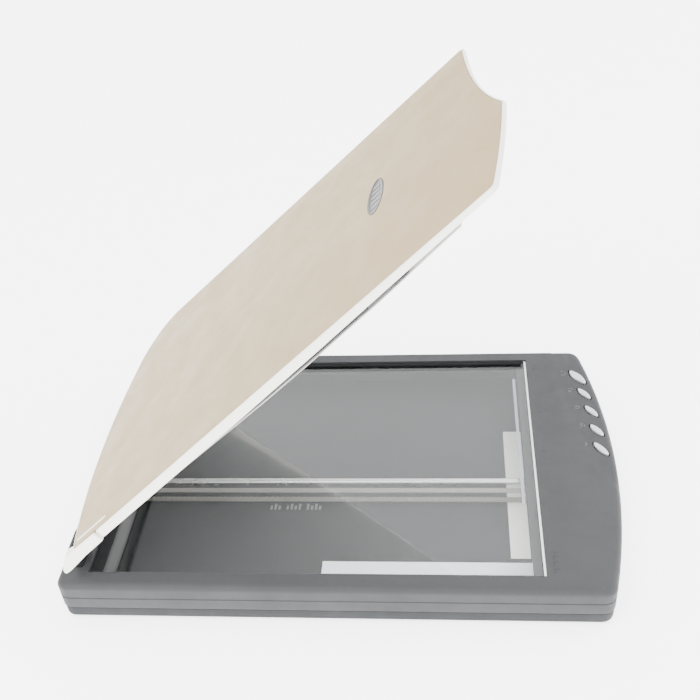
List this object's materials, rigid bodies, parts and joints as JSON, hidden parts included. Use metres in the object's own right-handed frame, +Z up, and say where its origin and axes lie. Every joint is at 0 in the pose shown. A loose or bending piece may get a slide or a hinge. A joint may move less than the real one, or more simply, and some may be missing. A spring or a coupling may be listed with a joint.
{
  "type": "flatbed scanner",
  "caption": "Slim flatbed document scanner with its lid propped open on rising hinge posts, glass bed, sensor carriage on a guide rod, and front push buttons.",
  "frame": {"origin": "on the table, under the middle of the base", "axes": "+X from the hinge end to the button end, along the glass; +Y away from the near long side; +Z up"},
  "size_m": [0.377, 0.255, 0.3075],
  "materials": {
    "case_grey": "satin",
    "hinge_grey": "matte",
    "glass": "polished",
    "seal_foam": "matte",
    "strip_white": "satin",
    "foot_rubber": "matte",
    "steel": "satin",
    "button_silver": "satin",
    "board_green": "satin",
    "black_plastic": "matte",
    "white_plastic": "satin",
    "belt_cream": "matte",
    "pinion_brass": "satin",
    "ribbon": "satin",
    "acrylic": "polished",
    "lid_beige": "satin",
    "lid_ivory": "satin",
    "badge_grey": "satin",
    "pad_foam": "matte",
    "pad_sheet": "satin"
  },
  "bodies": {
    "base": {"lower_case": "case_grey", "upper_case": "case_grey", "hinge_socket_near": "hinge_grey", "hinge_socket_far": "hinge_grey", "glass_plate": "glass", "rear_seal": "seal_foam", "side_seal": "seal_foam", "front_guide_strip": "strip_white", "foot_1": "foot_rubber", "foot_2": "foot_rubber", "foot_3": "foot_rubber", "foot_4": "foot_rubber", "case_screw_1": "steel", "case_screw_2": "steel", "case_screw_3": "steel", "case_screw_4": "steel", "guide_rod": "steel", "motor": "steel", "motor_bracket": "steel", "usb_socket": "steel", "button_board": "board_green", "main_board": "board_green", "rod_clip_rear": "black_plastic", "rod_clip_front": "black_plastic", "idler_bracket": "black_plastic", "dc_socket": "black_plastic", "drive_belt": "belt_cream", "ribbon_long": "ribbon", "ribbon_cross": "ribbon"},
    "carriage": {"carriage_frame": "black_plastic", "sensor_housing": "white_plastic", "light_guide": "acrylic", "lens_array": "black_plastic", "sensor_board": "board_green", "slider_near": "white_plastic", "slider_far": "white_plastic", "belt_clamp": "black_plastic"},
    "drive_gear": {"drive_gear": "white_plastic"},
    "motor_pinion": {"motor_pinion": "pinion_brass"},
    "idler_pulley": {"idler_pulley": "white_plastic"},
    "hinge_posts": {"hinge_post_near": "hinge_grey", "hinge_post_far": "hinge_grey", "hinge_pin_near": "steel", "hinge_pin_far": "steel"},
    "lid": {"lid_cover": "lid_beige", "lid_frame": "lid_ivory", "lid_end_cap": "lid_ivory", "lid_badge": "badge_grey", "pad_foam": "pad_foam", "pad_sheet": "pad_sheet"},
    "button_1": {"button_1": "button_silver"},
    "button_2": {"button_2": "button_silver"},
    "button_3": {"button_3": "button_silver"},
    "button_4": {"button_4": "button_silver"},
    "button_5": {"button_5": "button_silver"}
  },
  "joints": [
    {"name": "hinge_lift", "type": "slide", "parent": "base", "child": "hinge_posts", "axis": [0, 0, 1], "range_m": [-0.009, 0.006]},
    {"name": "lid_hinge", "type": "hinge", "parent": "hinge_posts", "child": "lid", "pos_m": [-0.1759, 0, 0.04965], "axis": [0, -1, 0], "range_deg": [-42.2, 47]},
    {"name": "carriage_slide", "type": "slide", "parent": "base", "child": "carriage", "axis": [1, 0, 0], "range_m": [-0.292, 0]},
    {"name": "drive_gear_spin", "type": "hinge", "parent": "base", "child": "drive_gear", "pos_m": [-0.1662, -0.0205, 0.0122], "axis": [0, 1, 0], "range_deg": [-3771.9, 0]},
    {"name": "idler_spin", "type": "hinge", "parent": "base", "child": "idler_pulley", "pos_m": [0.1755, -0.0205, 0.0122], "axis": [0, 1, 0], "range_deg": [-3771.9, 0]},
    {"name": "motor_spin", "type": "hinge", "parent": "base", "child": "motor_pinion", "pos_m": [-0.176, -0.0248, 0.015], "axis": [0, 1, 0], "range_deg": [0, 10056.7]},
    {"name": "button_1_press", "type": "slide", "parent": "base", "child": "button_1", "axis": [0, 0, -1], "range_m": [0, 0.0015], "stiffness_N_per_m": 250},
    {"name": "button_2_press", "type": "slide", "parent": "base", "child": "button_2", "axis": [0, 0, -1], "range_m": [0, 0.0015], "stiffness_N_per_m": 250},
    {"name": "button_3_press", "type": "slide", "parent": "base", "child": "button_3", "axis": [0, 0, -1], "range_m": [0, 0.0015], "stiffness_N_per_m": 250},
    {"name": "button_4_press", "type": "slide", "parent": "base", "child": "button_4", "axis": [0, 0, -1], "range_m": [0, 0.0015], "stiffness_N_per_m": 250},
    {"name": "button_5_press", "type": "slide", "parent": "base", "child": "button_5", "axis": [0, 0, -1], "range_m": [0, 0.0015], "stiffness_N_per_m": 250}
  ],
  "couplings": [
    {"joint": "drive_gear_spin", "follows": "carriage_slide", "rad_per_m": 224.72},
    {"joint": "idler_spin", "follows": "carriage_slide", "rad_per_m": 224.72},
    {"joint": "motor_spin", "follows": "carriage_slide", "rad_per_m": -599.25}
  ]
}
